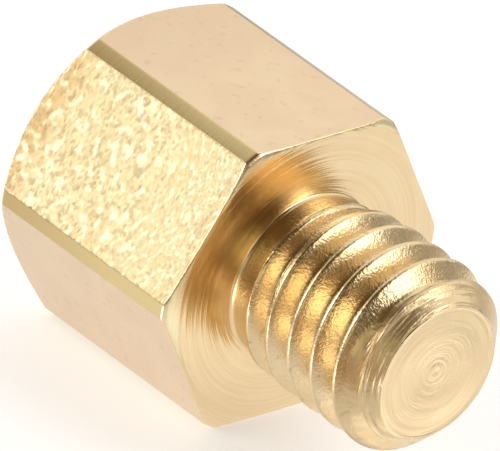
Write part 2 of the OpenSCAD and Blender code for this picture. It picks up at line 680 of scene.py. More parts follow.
@dataclass
class Socket:
    """Tapped hole in the body's end: drill point, bore, right-hand thread and countersink.

    Attributes:
        end_x: Place of the body's end face.
        depth: Depth of the bore to the drill point's rim.
        point_angle: Half the angle of the drill point.
        bore_r: Radius of the bore, which is the thread's crest.
        major_r: Radius of the thread's root.
        mouth_r: Radius of the 45 degree countersink at the end face.
        lip: Rounding of the countersink's rim.
        flare_round: Rounding between the countersink and the thread.
        pitch: Pitch of the thread.
        groove_phase: Place of the groove along the axis at angle 0.
        root_parts: How often half the flat of a root goes into the pitch.
        root_round: Rounding of the roots.
        crest_round: Rounding of the crests.
        thread_end: Place of the thread's deep end.
        run_out: Distances from there where the groove starts to shallow and where it is gone.
        fill: How much it is filled there.
    """

    end_x: float = -4.0
    depth: float = 3.0
    point_angle: float = math.radians(59)
    bore_r: float = 1.25
    major_r: float = 1.51
    mouth_r: float = 1.65
    lip: float = 0.03
    flare_round: float = 0.04
    pitch: float = 0.5
    groove_phase: float = -3.9
    root_parts: float = 16
    root_round: float = 0.05
    crest_round: float = 0.03
    thread_end: float = -1.32
    run_out: tuple[float, float] = (0.35, 0.05)
    fill: float = 0.35

    def radius(self, x: np.ndarray, angle: np.ndarray) -> np.ndarray:
        """Radius of the threaded wall.

        Args:
            x: Places along the axis.
            angle: Angles about it.

        Returns:
            The radii, with the thread run out at its deep end and cut by the countersink.
        """
        along = (x - self.groove_phase - self.pitch * angle / TURN) / self.pitch
        off = np.abs(along - np.round(along)) * self.pitch
        flank = self.major_r - (off - self.pitch / self.root_parts) / math.tan(FLANK)
        groove = smooth_min(flank, np.full_like(x, self.major_r), self.root_round)
        shallow, gone = (self.thread_end - distance for distance in self.run_out)
        groove = groove - self.fill * smooth_step(shallow, gone, x)
        wall = smooth_max(groove, np.full_like(x, self.bore_r), self.crest_round)
        flare = self.mouth_r - (x - self.end_x)
        return smooth_max(wall, flare, self.flare_round)

    def inside(self, mesh: LatheMesh) -> np.ndarray:
        """Add the hole, from its drill point to its mouth.

        Args:
            mesh: Mesh to add to.

        Returns:
            The ring at the mouth, on the end face.
        """
        floor_x = self.end_x + self.depth
        point = self.bore_r / math.tan(self.point_angle)
        ring = mesh.ring(floor_x + point * 0.96, self.bore_r * 0.04)
        mesh.close(ring, floor_x + point, Zone.TURNED, start=True)
        shares = (0.3, 0.6, 0.85, 0.98)
        cone = [(floor_x + point * (1 - share), self.bore_r * share) for share in shares]
        wall = [(x, self.bore_r) for x in (floor_x - 0.02, floor_x - 0.06, floor_x - 0.18)]
        ring = mesh.run(ring, cone + wall, Zone.TURNED)
        first = mesh.run(ring, [(self.thread_end, self.bore_r)], Zone.THREADED)
        rim = (self.end_x + self.lip, self.mouth_r - self.lip)
        last = mesh.ring(*rim)
        steps = np.array([0.0, 0.04, 0.12, 0.2, 0.25, 0.3, 0.38, 0.46])
        ring = mesh.helix(
            first, last, (self.thread_end, rim[0]), self.pitch, steps, self.groove_phase,
            self.radius, Zone.THREADED,
        )
        edge = rounded(rim, (self.end_x, self.mouth_r), (self.end_x, self.mouth_r + 0.02))
        return mesh.run(ring, edge[1:], Zone.TURNED)


# ---------------------------------------------------------------- shader making


class Mixed(Enum):
    """What a Mix node mixes: Blender's name, its first input and its output."""

    NUMBER = ("FLOAT", 2, 0)
    VECTOR = ("VECTOR", 4, 1)
    COLOUR = ("RGBA", 6, 2)


class Graph:
    """Short way to add shader nodes to one node tree and link them."""

    def __init__(self, tree: bpy.types.NodeTree) -> None:
        """Work on a tree."""
        self.tree = tree

    def node(self, kind: str, *inputs: object, **settings: object) -> bpy.types.Node:
        """Add a node.

        Args:
            kind: Blender's name of the node's type, without ShaderNode.
            inputs: Values or output sockets for its inputs in order, None to leave one alone.
            settings: Properties of the node.

        Returns:
            The node.
        """
        node = self.tree.nodes.new("ShaderNode" + kind)
        for key, value in settings.items():
            setattr(node, key, value)
        for socket, value in zip(node.inputs, inputs):
            self.set(socket, value)
        return node

    def set(self, socket: bpy.types.NodeSocket, value: object) -> None:
        """Link a socket to an output, or give it a value.

        Args:
            socket: The input to set.
            value: The output or the value, or None to leave the input alone.
        """
        if isinstance(value, bpy.types.NodeSocket):
            self.tree.links.new(value, socket)
        elif value is not None:
            socket.default_value = value

    def math(self, operation: str, *values: object) -> bpy.types.NodeSocket:
        """Add a sum and return its result."""
        return self.node("Math", *values, operation=operation).outputs[0]

    def vector(self, operation: str, *values: object) -> bpy.types.NodeSocket:
        """Add a sum of vectors and return its vector."""
        return self.node("VectorMath", *values, operation=operation).outputs["Vector"]

    def measure(self, operation: str, *values: object) -> bpy.types.NodeSocket:
        """Add a sum of vectors and return its number."""
        return self.node("VectorMath", *values, operation=operation).outputs["Value"]

    def scale(self, vector: object, factor: object) -> bpy.types.NodeSocket:
        """Scale a vector.

        Args:
            vector: The vector.
            factor: What it is multiplied by.

        Returns:
            The result.
        """
        node = self.node("VectorMath", vector, operation="SCALE")
        self.set(node.inputs["Scale"], factor)
        return node.outputs["Vector"]

    def triple(self, x: object, y: object = 0.0, z: object = 0.0) -> bpy.types.NodeSocket:
        """Make a vector of three numbers."""
        return self.node("CombineXYZ", x, y, z).outputs[0]

    def parts(self, vector: object) -> bpy.types.NodeOutputs:
        """Split a vector into its three numbers."""
        return self.node("SeparateXYZ", vector).outputs

    def place(self) -> bpy.types.NodeSocket:
        """Place on the part, in metres."""
        return self.node("TexCoord").outputs["Object"]

    def along(self, place: bpy.types.NodeSocket) -> bpy.types.NodeSocket:
        """Place along the axis in millimetres, from a place on the part."""
        return self.math("MULTIPLY", self.parts(place)[0], 1 / MM)

    def ramp(self, value: object, low: float, high: float, start: float = 0.0,
             end: float = 1.0) -> bpy.types.NodeSocket:
        """Fade smoothly from one level to another.

        Args:
            value: The value that leads the fade.
            low: Where it starts, which may be above where it ends.
            high: Where it ends.
            start: Level before it.
            end: Level after it.

        Returns:
            The level.
        """
        node = self.node("MapRange", value, low, high, start, end)
        node.interpolation_type = "SMOOTHSTEP"
        return node.outputs["Result"]

    def noise(self, place: object, scale: float, detail: float = 2.0,
              roughness: float = 0.5) -> bpy.types.NodeSocket:
        """Add soft noise.

        Args:
            place: Where the noise is read.
            scale: How fine it is.
            detail: Number of finer layers on it.
            roughness: Strength of each of these.

        Returns:
            A number that varies about 0.5.
        """
        node = self.node("TexNoise")
        self.set(node.inputs["Vector"], place)
        node.inputs["Scale"].default_value = scale
        node.inputs["Detail"].default_value = detail
        node.inputs["Roughness"].default_value = roughness
        return node.outputs["Fac"]

    def mix(self, kind: Mixed, share: object, a: object, b: object) -> bpy.types.NodeSocket:
        """Mix two inputs.

        Args:
            kind: What they are.
            share: Share of the second, from 0 to 1.
            a: First input.
            b: Second input.

        Returns:
            The result.
        """
        name, first, result = kind.value
        node = self.node("Mix", data_type=name)
        sockets = (node.inputs[0], node.inputs[first], node.inputs[first + 1])
        for socket, value in zip(sockets, (share, a, b)):
            self.set(socket, (*value, 1) if kind is Mixed.COLOUR and isinstance(value, tuple) else value)
        return node.outputs[result]

    def blend(self, share: object, a: object, b: object) -> bpy.types.NodeSocket:
        """Mix two numbers and return the result."""
        return self.mix(Mixed.NUMBER, share, a, b)

    def tint(self, share: object, a: object, b: object) -> bpy.types.NodeSocket:
        """Mix two colours and return the result."""
        return self.mix(Mixed.COLOUR, share, a, b)


class Effect:
    """A shader node group that several finishes use.

    Attributes:
        name: Name of the group.
        inputs: Its inputs and their usual values.
        outputs: Its outputs.
        kinds: Types of the outputs that aren't plain numbers.
    """

    name: ClassVar[str] = "effect"
    inputs: ClassVar[dict[str, float]] = {}
    outputs: ClassVar[tuple[str, ...]] = ("Height",)
    kinds: ClassVar[dict[str, str]] = {}

    @classmethod
    def group(cls) -> bpy.types.NodeTree:
        """Find the node group, building it the first time.

        Returns:
            The group.
        """
        known = bpy.data.node_groups.get(cls.name)
        if known:
            return known
        tree = bpy.data.node_groups.new(cls.name, "ShaderNodeTree")
        for label, value in cls.inputs.items():
            socket = tree.interface.new_socket(label, in_out="INPUT", socket_type="NodeSocketFloat")
            socket.default_value = value
        for label in cls.outputs:
            kind = cls.kinds.get(label, "NodeSocketFloat")
            tree.interface.new_socket(label, in_out="OUTPUT", socket_type=kind)
        entry = tree.nodes.new("NodeGroupInput")
        exit_node = tree.nodes.new("NodeGroupOutput")
        graph = Graph(tree)
        results = cls.wire(graph, graph.scale(graph.place(), 1 / MM), entry.outputs)
        for label, value in zip(cls.outputs, results):
            graph.set(exit_node.inputs[label], value)
        return tree

    @classmethod
    def wire(cls, graph: Graph, place: bpy.types.NodeSocket,
             entry: bpy.types.NodeOutputs) -> tuple[bpy.types.NodeSocket, ...]:
        """Add the effect's nodes.

        Args:
            graph: The group's graph.
            place: Place on the part in millimetres.
            entry: The group's inputs by name.

        Returns:
            One socket for each of the outputs.
        """
        raise NotImplementedError

    @classmethod
    def use(cls, graph: Graph, **values: object) -> bpy.types.NodeOutputs:
        """Place the group in a material, with its own values.

        Args:
            graph: The material's graph.
            values: Values or sockets by input name.

        Returns:
            The group's outputs by name.
        """
        node = graph.node("Group", node_tree=cls.group())
        for label, value in values.items():
            graph.set(node.inputs[label], value)
        return node.outputs


class LatheMarks(Effect):
    """Rings that a cutting tool leaves round the axis, uneven in depth and slightly broken."""

    name = "lathe_marks"
    inputs = {"Spacing": 0.06, "Seed": 0.0}
    outputs = ("Height", "Streak")

    @classmethod
    def wire(cls, graph: Graph, place: bpy.types.NodeSocket,
             entry: bpy.types.NodeOutputs) -> tuple[bpy.types.NodeSocket, ...]:
        """Add noise that is stretched round the axis, at three widths of ring.

        The rings follow radius and place along the axis together. The place counts more, so
        that the rings don't vanish on a 45 degree cone, where the plain sum stays the same.

        Args:
            graph: The group's graph.
            place: Place on the part in millimetres.
            entry: The group's inputs by name.

        Returns:
            Height of the marks, and where the wider ones are high.
        """
        x, y, z = graph.parts(place)
        squares = (graph.math("MULTIPLY", y, y), graph.math("MULTIPLY", z, z))
        radius = graph.math("SQRT", graph.math("ADD", *squares))
        across = graph.math("DIVIDE", graph.math("MULTIPLY_ADD", x, 1.6, radius), entry["Spacing"])
        inward = graph.math("MAXIMUM", radius, 0.05)
        around = graph.triple(across, graph.math("DIVIDE", y, inward), graph.math("DIVIDE", z, inward))
        around = graph.vector("ADD", around, graph.triple(entry["Seed"]))
        coarse = graph.noise(around, 0.5, 0.0)
        middle = graph.noise(around, 1.0, 1.0)
        fine = graph.noise(around, 2.7, 1.0)
        height = graph.math("MULTIPLY_ADD", middle, 0.6, graph.math("MULTIPLY", fine, 0.25))
        height = graph.math("MULTIPLY_ADD", coarse, 0.5, height)
        return height, graph.ramp(middle, 0.35, 0.65)


class Grain(Effect):
    """Small pits and grains all over a surface, with larger flecks among them."""

    name = "grain"
    inputs = {"Size": 0.05, "Stretch": 1.0}
    outputs = ("Height", "Fleck")

    @classmethod
    def wire(cls, graph: Graph, place: bpy.types.NodeSocket,
             entry: bpy.types.NodeOutputs) -> tuple[bpy.types.NodeSocket, ...]:
        """Add grains of one size, which may be narrower along the axis.

        Args:
            graph: The group's graph.
            place: Place on the part in millimetres.
            entry: The group's inputs by name.

        Returns:
            Height of the grain, and where its flecks are.
        """
        place = graph.vector("MULTIPLY", place, graph.triple(entry["Stretch"], 1.0, 1.0))
        place = graph.vector("DIVIDE", place, graph.triple(*[entry["Size"]] * 3))
        body = graph.noise(place, 0.9, 2.0, 0.6)
        fleck = graph.noise(place, 0.55, 0.0)
        return body, graph.ramp(fleck, 0.52, 0.76)


class Facets(Effect):
    """Small crystal faces that each lean their own way, as on a coarse drawn surface."""

    name = "facets"
    inputs = {"Size": 0.05, "Stretch": 1.0}
    outputs = ("Tilt", "Tint")
    kinds = {"Tilt": "NodeSocketVector"}

    @classmethod
    def wire(cls, graph: Graph, place: bpy.types.NodeSocket,
             entry: bpy.types.NodeOutputs) -> tuple[bpy.types.NodeSocket, ...]:
        """Add softly joined cells, narrower along the axis, and a random lean for each.

        Args:
            graph: The group's graph.
            place: Place on the part in millimetres.
            entry: The group's inputs by name.

        Returns:
            How each cell leans, and which of its two tones it has.
        """
        size = entry["Size"]
        squeezed = graph.triple(graph.math("DIVIDE", size, entry["Stretch"]), size, size)
        cells = graph.node("TexVoronoi", feature="SMOOTH_F1")
        graph.set(cells.inputs["Vector"], graph.vector("DIVIDE", place, squeezed))
        cells.inputs["Scale"].default_value = 1
        cells.inputs["Smoothness"].default_value = 0.35
        lean = graph.vector("SUBTRACT", cells.outputs["Color"], (0.5, 0.5, 0.5))
        return lean, graph.ramp(graph.parts(cells.outputs["Color"])[0], 0.3, 0.7)


class Tarnish(Effect):
    """Faint cloudy patches and specks where brass has been handled."""

    name = "tarnish"
    inputs = {"Seed": 0.0}
    outputs = ("Cloud", "Speck")

    @classmethod
    def wire(cls, graph: Graph, place: bpy.types.NodeSocket,
             entry: bpy.types.NodeOutputs) -> tuple[bpy.types.NodeSocket, ...]:
        """Add wide soft clouds and a few small dark specks.

        Args:
            graph: The group's graph.
            place: Place on the part in millimetres.
            entry: The group's inputs by name.

        Returns:
            Where the clouds are, and where the specks are.
        """
        place = graph.vector("ADD", place, graph.triple(entry["Seed"]))
        cloud = graph.noise(place, 1.3, 3.0, 0.55)
        speck = graph.noise(place, 7.0, 1.0)
        return graph.ramp(cloud, 0.35, 0.65), graph.ramp(speck, 0.62, 0.76)


# ---------------------------------------------------------------- finishes


@dataclass(frozen=True)
class BrassFinish:
    """Look that all surfaces of the part share.

    Attributes:
        name: Name of the material.
        colour: Base colour, linear.
        shade: Colour of its darker patches.
        roughness: Mean roughness.
        anisotropic: Stretch of the highlights across the turning marks.
    """

    name: str = "brass"
    colour: Colour = (0.88, 0.70, 0.40)
    shade: Colour = (0.80, 0.60, 0.34)
    roughness: float = 0.3
    anisotropic: float = 0.0

    def material(self) -> bpy.types.Material:
        """Build the material.

        Returns:
            The material, one shader with the finish's own colours, roughness and bumps.
        """
        mat = bpy.data.materials.new(self.name)
        mat.use_nodes = True
        graph = Graph(mat.node_tree)
        shader = mat.node_tree.nodes["Principled BSDF"]
        shader.inputs["Metallic"].default_value = 1
        shader.inputs["Anisotropic"].default_value = self.anisotropic
        if self.anisotropic:
            tangent = graph.node("Tangent", direction_type="RADIAL", axis="X")
            graph.set(shader.inputs["Tangent"], tangent.outputs[0])
        self.dress(graph, shader.inputs)
        return mat

    def bump(self, graph: Graph, sockets: bpy.types.NodeInputs, *layers: tuple[object, object],
             normal: object = None) -> None:
        """Add bumps.

        Args:
            graph: The material's graph.
            sockets: Its shader's inputs by name.
            layers: Heights between 0 and 1, each with its depth in millimetres.
            normal: The normal to start from, or None for the surface's own.
        """
        for height, depth in layers:
            node = graph.node("Bump")
            node.inputs["Distance"].default_value = MM
            graph.set(node.inputs["Height"], graph.math("MULTIPLY", height, depth))
            graph.set(node.inputs["Normal"], normal)
            normal = node.outputs[0]
        graph.set(sockets["Normal"], normal)

    def dress(self, graph: Graph, sockets: bpy.types.NodeInputs) -> None:
        """Add what is special to the finish.

        Args:
            graph: The material's graph.
            sockets: Its shader's inputs by name.
        """
        raise NotImplementedError


@dataclass(frozen=True)
class DrawnBrass(BrassFinish):
    """Flats of the drawn bar: smooth, but coarse and sparkling on one of them.

    Attributes:
        end_shade: Colour of the smooth flats towards the socket's end, a painted shade.
        end_shade_span: Places along the axis where it starts and where it is full.
        end_shade_share: How much it covers.
        cloud_share: How much the clouds cover, on all flats.
        speck: Colour of the dark specks on the smooth flats.
        speck_share: How much they cover.
        grain_depth: Depth of the fine grain on all flats.
        coarse_turn: Direction of the coarse flat about the axis.
        plane: Distance from the axis to a flat.
        coarse_roughness: Roughness of the coarse flat.
        facets: Colours of its facets.
        facet_sizes: Size of the facets, and their size near the shoulder.
        facet_stretch: How much narrower they are along the axis.
        near_span: Places along the axis between which the size changes.
        tilt: How far the facets lean.
        rise: How far the whole flat seems to be turned up.
        stained: Its colour where it is clouded.
        far_end: Its colour close to the socket's end.
        end_span: Places along the axis where that starts and where it is full.
        fleck: Colour of its bright flecks.
        fleck_sizes: Size of the flecks, and their size near the shoulder.
        fleck_stretch: How much narrower they are along the axis.
        line_span: Places along the axis between which the lined strip at the shoulder starts.
        line_scale: How fine its lines are: about how many go into a millimetre.
        line_depth: Depth of the lines.
    """

    name: str = "drawn_brass"
    colour: Colour = (0.86, 0.65, 0.42)
    shade: Colour = (0.81, 0.59, 0.375)
    roughness: float = 0.3
    end_shade: Colour = (0.77, 0.57, 0.365)
    end_shade_span: tuple[float, float] = (-1.2, -3.9)
    end_shade_share: float = 0.8
    cloud_share: float = 0.7
    speck: Colour = (0.35, 0.24, 0.14)
    speck_share: float = 0.16
    grain_depth: float = 0.0012
    coarse_turn: float = math.radians(150)
    plane: float = 2.25
    coarse_roughness: float = 0.40
    facets: tuple[Colour, Colour] = ((0.48, 0.38, 0.212), (0.535, 0.43, 0.245))
    facet_sizes: tuple[float, float] = (0.06, 0.04)
    facet_stretch: float = 1.6
    near_span: tuple[float, float] = (-1.6, -0.3)
    tilt: float = 0.19
    rise: float = 0.022
    stained: Colour = (0.50, 0.385, 0.20)
    far_end: Colour = (0.43, 0.30, 0.14)
    end_span: tuple[float, float] = (-3.2, -3.7)
    fleck: Colour = (0.66, 0.575, 0.37)
    fleck_sizes: tuple[float, float] = (0.085, 0.045)
    fleck_stretch: float = 1.3
    line_span: tuple[float, float] = (-0.24, -0.12)
    line_scale: float = 28.0
    line_depth: float = 0.006

    def dress(self, graph: Graph, sockets: bpy.types.NodeInputs) -> None:
        """Add clouds, fine grain and the coarse flat.

        Args:
            graph: The material's graph.
            sockets: Its shader's inputs by name.
        """
        place = graph.place()
        coarse, along = self.coarse(graph, place), graph.along(place)
        near = graph.ramp(along, *self.near_span)
        tarnish = Tarnish.use(graph)
        cloud = graph.math("MULTIPLY", tarnish["Cloud"], self.cloud_share)
        large, small = (Facets.use(graph, Size=size, Stretch=self.facet_stretch)
                        for size in self.facet_sizes)
        colour = graph.tint(coarse, self.smooth_colour(graph, along, cloud),
                            self.coarse_colour(graph, along, near, cloud, large["Tint"]))
        share = graph.math("SUBTRACT", self.speck_share, coarse)
        speck = graph.math("MAXIMUM", graph.math("MULTIPLY", tarnish["Speck"], share), 0.0)
        graph.set(sockets["Base Color"], graph.tint(speck, colour, self.speck))
        graph.set(sockets["Roughness"], graph.blend(coarse, self.roughness, self.coarse_roughness))
        fine = Grain.use(graph, Size=0.03, Stretch=0.3)
        lines = graph.noise(graph.triple(graph.math("MULTIPLY", along, self.line_scale)), 1.0, 1.0)
        strip = graph.math("MULTIPLY", graph.ramp(along, *self.line_span), coarse)
        lean = graph.mix(Mixed.VECTOR, near, large["Tilt"], small["Tilt"])
        self.bump(graph, sockets, (fine["Height"], self.grain_depth),
                  (graph.math("MULTIPLY", lines, strip), self.line_depth),
                  normal=self.normal(graph, coarse, lean))

    def coarse(self, graph: Graph, place: bpy.types.NodeSocket) -> bpy.types.NodeSocket:
        """Find the coarse flat.

        Args:
            graph: The material's graph.
            place: Place on the part in metres.

        Returns:
            1 on the coarse flat and 0 elsewhere.
        """
        outward = (0.0, math.cos(self.coarse_turn) / MM, math.sin(self.coarse_turn) / MM)
        height = graph.measure("DOT_PRODUCT", place, outward)
        return graph.ramp(height, self.plane - 0.05, self.plane - 0.015)

    def smooth_colour(self, graph: Graph, along: bpy.types.NodeSocket,
                      cloud: bpy.types.NodeSocket) -> bpy.types.NodeSocket:
        """Colour the smooth flats, with painted shade that darkens them towards the socket's end.

        Args:
            graph: The material's graph.
            along: Place along the axis in millimetres.
            cloud: Where the brass is clouded.

        Returns:
            The colour.
        """
        colour = graph.tint(cloud, self.colour, self.shade)
        # Painted shade: the smooth flats get darker towards the socket's end.
        end_shade = graph.ramp(along, *self.end_shade_span, 0.0, self.end_shade_share)
        return graph.tint(end_shade, colour, self.end_shade)

    def coarse_colour(self, graph: Graph, along: bpy.types.NodeSocket, near: bpy.types.NodeSocket,
                      cloud: bpy.types.NodeSocket, tone: bpy.types.NodeSocket) -> bpy.types.NodeSocket:
        """Colour the coarse flat, facet by facet, with flecks that are finer near the shoulder.

        Args:
            graph: The material's graph.
            along: Place along the axis in millimetres.
            near: 1 near the shoulder and 0 away from it.
            cloud: Where the brass is clouded.
            tone: Which of the two colours a facet has.

        Returns:
            The colour.
        """
        colour = graph.tint(tone, *self.facets)
        colour = graph.tint(cloud, colour, self.stained)
        colour = graph.tint(graph.ramp(along, *self.end_span), colour, self.far_end)
        size = graph.blend(near, *self.fleck_sizes)
        flecks = Grain.use(graph, Size=size, Stretch=self.fleck_stretch)
        return graph.tint(flecks["Fleck"], colour, self.fleck)

    def normal(self, graph: Graph, coarse: bpy.types.NodeSocket,
               lean: bpy.types.NodeSocket) -> bpy.types.NodeSocket:
        """Turn the surface's normal on the coarse flat.

        Args:
            graph: The material's graph.
            coarse: 1 on the coarse flat and 0 elsewhere.
            lean: How each facet leans.

        Returns:
            The normal, before any bumps.
        """
        tilt = graph.scale(lean, graph.math("MULTIPLY", coarse, self.tilt))
        raised = graph.triple(0.0, 0.0, graph.math("MULTIPLY", coarse, self.rise))
        normal = graph.vector("ADD", graph.node("NewGeometry").outputs["Normal"], tilt)
        return graph.vector("NORMALIZE", graph.vector("ADD", normal, raised))


@dataclass(frozen=True)
class TurnedBrass(BrassFinish):
    """Faces and chamfers cut on the lathe, with rings of turning marks and painted shade beside the
    neck.

    Attributes:
        spacing: Distance between the rings.
        depth: Their depth.
        grain_depth: Depth of the fine grain.
        neck_shade_at: Middle of the painted shade beside the neck, where the shoulder mirrors the dim
            stud.
        neck_shade: Its colour.
        neck_shade_radii: Radius where it fades away, and radius where it is full.
        neck_shade_share: How much it covers.
    """

    name: str = "turned_brass"
    colour: Colour = (0.90, 0.70, 0.42)
    shade: Colour = (0.84, 0.62, 0.34)
    roughness: float = 0.20
    anisotropic: float = 0.55
    spacing: float = 0.045
    depth: float = 0.009
    grain_depth: float = 0.0012
    neck_shade_at: tuple[float, float, float] = (0.0, -1.8, 0.42)
    neck_shade: Colour = (0.50, 0.34, 0.14)
    neck_shade_radii: tuple[float, float] = (0.7, 0.2)
    neck_shade_share: float = 0.85

    def dress(self, graph: Graph, sockets: bpy.types.NodeInputs) -> None:
        """Add turning marks and the painted shade beside the neck.

        Args:
            graph: The material's graph.
            sockets: Its shader's inputs by name.
        """
        marks = LatheMarks.use(graph, Spacing=self.spacing, Seed=3.0)
        tarnish = Tarnish.use(graph, Seed=5.0)
        fine = Grain.use(graph, Size=0.03)
        # Painted shade: the shoulder is darkened beside the neck, where it mirrors the dim stud.
        middle = tuple(value * MM for value in self.neck_shade_at)
        radii = (radius * MM for radius in self.neck_shade_radii)
        neck_shade = graph.measure("DISTANCE", graph.place(), middle)
        neck_shade = graph.ramp(neck_shade, *radii, 0.0, self.neck_shade_share)
        colour = graph.tint(graph.math("MULTIPLY", marks["Streak"], 0.5), self.colour, self.shade)
        graph.set(sockets["Base Color"], graph.tint(neck_shade, colour, self.neck_shade))
        rough = graph.math("MULTIPLY_ADD", tarnish["Cloud"], 0.08, self.roughness - 0.04)
        graph.set(sockets["Roughness"], rough)
        self.bump(graph, sockets, (marks["Height"], self.depth), (fine["Height"], self.grain_depth))


@dataclass(frozen=True)
class LandBrass(BrassFinish):
    """Narrow lands on the corners, polished by handling, with painted shade that darkens them towards
    the socket's end.

    Attributes:
        painted_shade_span: Places along the axis between which the painted shade fades from shade to
            colour.
        spacing: Distance between the turning marks.
        depth: Their depth.
    """

    name: str = "land_brass"
    colour: Colour = (0.75, 0.585, 0.282)
    shade: Colour = (0.59, 0.425, 0.19)
    roughness: float = 0.24
    painted_shade_span: tuple[float, float] = (-3.8, -0.5)
    spacing: float = 0.05
    depth: float = 0.0006

    def dress(self, graph: Graph, sockets: bpy.types.NodeInputs) -> None:
        """Add the painted shade along the land and very faint turning marks.

        Args:
            graph: The material's graph.
            sockets: Its shader's inputs by name.
        """
        marks = LatheMarks.use(graph, Spacing=self.spacing, Seed=7.0)
        # Painted shade: the land gets darker towards the socket's end.
        tone = graph.ramp(graph.along(graph.place()), *self.painted_shade_span)
        tone = graph.math("MULTIPLY_ADD", marks["Streak"], 0.06, tone)
        graph.set(sockets["Base Color"], graph.tint(tone, self.shade, self.colour))
        rough = graph.math("MULTIPLY_ADD", marks["Streak"], 0.04, self.roughness)
        graph.set(sockets["Roughness"], rough)
        self.bump(graph, sockets, (marks["Height"], self.depth))


@dataclass(frozen=True)
class ThreadedBrass(BrassFinish):
    """Flanks, crests and neck as the die left them, bright and finely torn.

    Attributes:
        smudge: Colour of the dark specks.
        smudge_share: How much they cover.
        spacing: Distance between the faint rings.
        depth: Their depth.
        torn_depths: Depth of the torn grain, and its depth on the tip's chamfer.
        tip_span: Places along the axis between which that chamfer starts.
        tip_roughness: What it adds to the roughness.
        tip_spacing: Distance between the deeper rings on it.
        tip_depth: Their depth.
    """

    name: str = "threaded_brass"
    colour: Colour = (0.87, 0.685, 0.41)
    shade: Colour = (0.80, 0.60, 0.33)
    roughness: float = 0.2
    smudge: Colour = (0.50, 0.35, 0.19)
    smudge_share: float = 0.45
    spacing: float = 0.03
    depth: float = 0.002
    torn_depths: tuple[float, float] = (0.007, 0.006)
    tip_span: tuple[float, float] = (2.5, 2.62)
    tip_roughness: float = 0.14
    tip_spacing: float = 0.055
    tip_depth: float = 0.09

    def dress(self, graph: Graph, sockets: bpy.types.NodeInputs) -> None:
        """Add torn grain and faint rings, and deeper rings on the tip's chamfer.

        Args:
            graph: The material's graph.
            sockets: Its shader's inputs by name.
        """
        torn = Grain.use(graph, Size=0.04)
        marks = LatheMarks.use(graph, Spacing=self.spacing, Seed=11.0)
        cuts = LatheMarks.use(graph, Spacing=self.tip_spacing, Seed=4.0)
        tarnish = Tarnish.use(graph, Seed=9.0)
        tip = graph.ramp(graph.along(graph.place()), *self.tip_span)
        colour = graph.tint(tarnish["Cloud"], self.colour, self.shade)
        smudge = graph.math("MULTIPLY", tarnish["Speck"], self.smudge_share)
        graph.set(sockets["Base Color"], graph.tint(smudge, colour, self.smudge))
        rough = graph.math("MULTIPLY_ADD", tarnish["Cloud"], 0.06, self.roughness)
        graph.set(sockets["Roughness"], graph.math("MULTIPLY_ADD", tip, self.tip_roughness, rough))
        self.bump(graph, sockets, (marks["Height"], self.depth),
                  (torn["Height"], graph.blend(tip, *self.torn_depths)),
                  (cuts["Height"], graph.math("MULTIPLY", tip, self.tip_depth)))


# ---------------------------------------------------------------- the whole part


@dataclass
class HexStandoff:
    """The whole part, one piece of brass.

    Attributes:
        body: Its hexagonal body.
        stud: Its threaded stud.
        socket: Its tapped hole.
    """

    body: HexBody = field(default_factory=HexBody)
    stud: Stud = field(default_factory=Stud)
    socket: Socket = field(default_factory=Socket)

    def build(self) -> bpy.types.Object:
        """Build the part's mesh and dress it.

        Returns:
            The object.
        """
        mesh = LatheMesh(self.body.angles())
        ring = self.socket.inside(mesh)
        ring = self.body.outside(mesh, ring)
        self.stud.outside(mesh, ring)
        piece = mesh.build("hex_standoff_brass")
        self.dress(piece)
        return piece

    def dress(self, piece: bpy.types.Object) -> None:
        """Give each zone of the mesh its finish.

        Args:
            piece: The part's object.
        """
        finishes = {
            Zone.DRAWN: DrawnBrass(),
            Zone.TURNED: TurnedBrass(),
            Zone.THREADED: ThreadedBrass(),
            Zone.LAND: LandBrass(),
            # Paler colour on two corner chamfers: a painted highlight.
            Zone.CUT: TurnedBrass("painted_highlight_brass", (1.0, 0.89, 0.58), (0.95, 0.80, 0.48), 0.34, 0.0),
            Zone.FACED: TurnedBrass("faced_brass", roughness=0.27, anisotropic=0.75),
        }
        for zone in Zone:
            piece.data.materials.append(finishes[zone].material())


# ---------------------------------------------------------------- studio


@dataclass(frozen=True)
class Patch:
    """A round part of the tent with a light of its own.

    Attributes:
        azimuth: Direction to its centre about Z, in degrees from +X.
        elevation: Height of its centre above the horizon, in degrees.
        inner: Angle from the centre up to which it has its full level, in degrees.
        outer: Angle at which it has faded away, in degrees.
        colour: Its radiance, where 1 is white.
    """

    azimuth: float
    elevation: float
    inner: float
    outer: float
    colour: Colour

    def over(self, graph: Graph, way: bpy.types.NodeSocket,
             light: bpy.types.NodeSocket) -> bpy.types.NodeSocket:
        """Lay the patch over the light.

        Args:
            graph: The world's graph.
            way: Direction that is looked in.
            light: Light from there without the patch.

        Returns:
            The light with it.
        """
        near = graph.measure("DOT_PRODUCT", way, direction(self.azimuth, self.elevation))
        edges = (math.cos(math.radians(angle)) for angle in (self.outer, self.inner))
        return graph.tint(graph.ramp(near, *edges), light, self.colour)


@dataclass(frozen=True)
class Pool:
    """A painted pool of light on the floor, or of shade where its gain is below 0, seen in gloss only.

    Attributes:
        x: Place of its middle along X.
        y: Place of its middle along Y.
        along: Half its length along X.
        across: Half its width along Y.
        gain: What it adds to the floor's level, below 0 where it is darker.
    """

    x: float
    y: float
    along: float
    across: float
    gain: float

    def light(self, graph: Graph, place: bpy.types.NodeSocket) -> bpy.types.NodeSocket:
        """Find what the pool adds.

        Args:
            graph: The floor's graph.
            place: Place on the floor in metres.

        Returns:
            The gain there.
        """
        offset = graph.vector("SUBTRACT", place, (self.x * MM, self.y * MM, 0))
        offset = graph.vector("DIVIDE", offset, (self.along * MM, self.across * MM, 1))
        return graph.ramp(graph.measure("LENGTH", offset), 0.3, 1.0, self.gain, 0.0)


